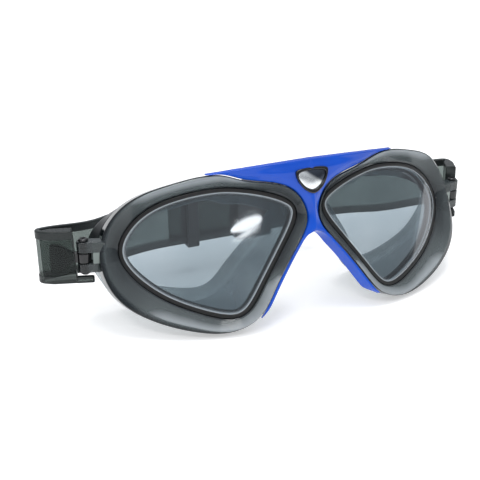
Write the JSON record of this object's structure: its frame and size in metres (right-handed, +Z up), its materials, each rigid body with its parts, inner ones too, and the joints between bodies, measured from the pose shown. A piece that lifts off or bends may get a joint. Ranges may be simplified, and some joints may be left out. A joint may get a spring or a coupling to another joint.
{
  "type": "swim goggles",
  "caption": "Mask-type swim goggles: two curved lenses in wide funnel bezels, a soft face skirt, a hard brow and nose frame, and a strap on two hinged clips.",
  "frame": {"origin": "middle of the footprint, on the surface that the goggles stand on", "axes": "+X to the wearer's left, +Y towards the wearer's face, +Z up"},
  "size_m": [0.1872, 0.0706, 0.0604],
  "materials": {
    "frame_blue": "glossy royal blue moulded plastic",
    "badge_black": "glossy black",
    "badge_silver": "bright plated plate, plain",
    "lens_smoke": "light smoke tint, hard coated",
    "gasket_black": "black seal",
    "bezel_smoke": "glossy dark smoke translucent plastic",
    "skirt_smoke": "satin smoke silicone",
    "lug_grey": "grey translucent plastic",
    "pin_dark": "glossy black",
    "clip_black": "glossy black",
    "strap_smoke": "satin translucent smoke silicone",
    "slider_black": "glossy black",
    "keeper_smoke": "satin dark silicone"
  },
  "bodies": {
    "mask": {"front_frame": "frame_blue", "badge_rim": "badge_black", "badge_plate": "badge_silver", "face_skirt": "skirt_smoke", "left_lens": "lens_smoke", "left_lens_gasket": "gasket_black", "left_bezel": "bezel_smoke", "left_hinge_lug": "lug_grey", "left_hinge_pin": "pin_dark", "left_strap": "strap_smoke", "right_lens": "lens_smoke", "right_lens_gasket": "gasket_black", "right_bezel": "bezel_smoke", "right_hinge_lug": "lug_grey", "right_hinge_pin": "pin_dark", "right_strap": "strap_smoke"},
    "left_clip": {"left_strap_clip": "clip_black", "left_strap_end": "strap_smoke"},
    "right_clip": {"right_strap_clip": "clip_black", "right_strap_end": "strap_smoke"},
    "slider": {"rear_slider": "slider_black"},
    "left_keeper": {"left_strap_keeper": "keeper_smoke"},
    "right_keeper": {"right_strap_keeper": "keeper_smoke"}
  },
  "joints": [
    {"name": "left_clip_hinge", "type": "hinge", "parent": "mask", "child": "left_clip", "pos_m": [0.0852, -0.00164, 0.0284], "axis": [0, 0, 1], "range_deg": [-64.5, 21.5], "deforming": ["left_strap"]},
    {"name": "right_clip_hinge", "type": "hinge", "parent": "mask", "child": "right_clip", "pos_m": [-0.0776, -0.00164, 0.0284], "axis": [0, 0, -1], "range_deg": [-20, 66], "deforming": ["right_strap"]},
    {"name": "rear_slider_slide", "type": "slide", "parent": "mask", "child": "slider", "axis": [1, 0, 0], "range_m": [-0.008, 0.008]},
    {"name": "left_keeper_slide", "type": "slide", "parent": "mask", "child": "left_keeper", "axis": [1, 0, 0], "range_m": [-0.004, 0.004]},
    {"name": "right_keeper_slide", "type": "slide", "parent": "mask", "child": "right_keeper", "axis": [1, 0, 0], "range_m": [-0.004, 0.004]}
  ]
}
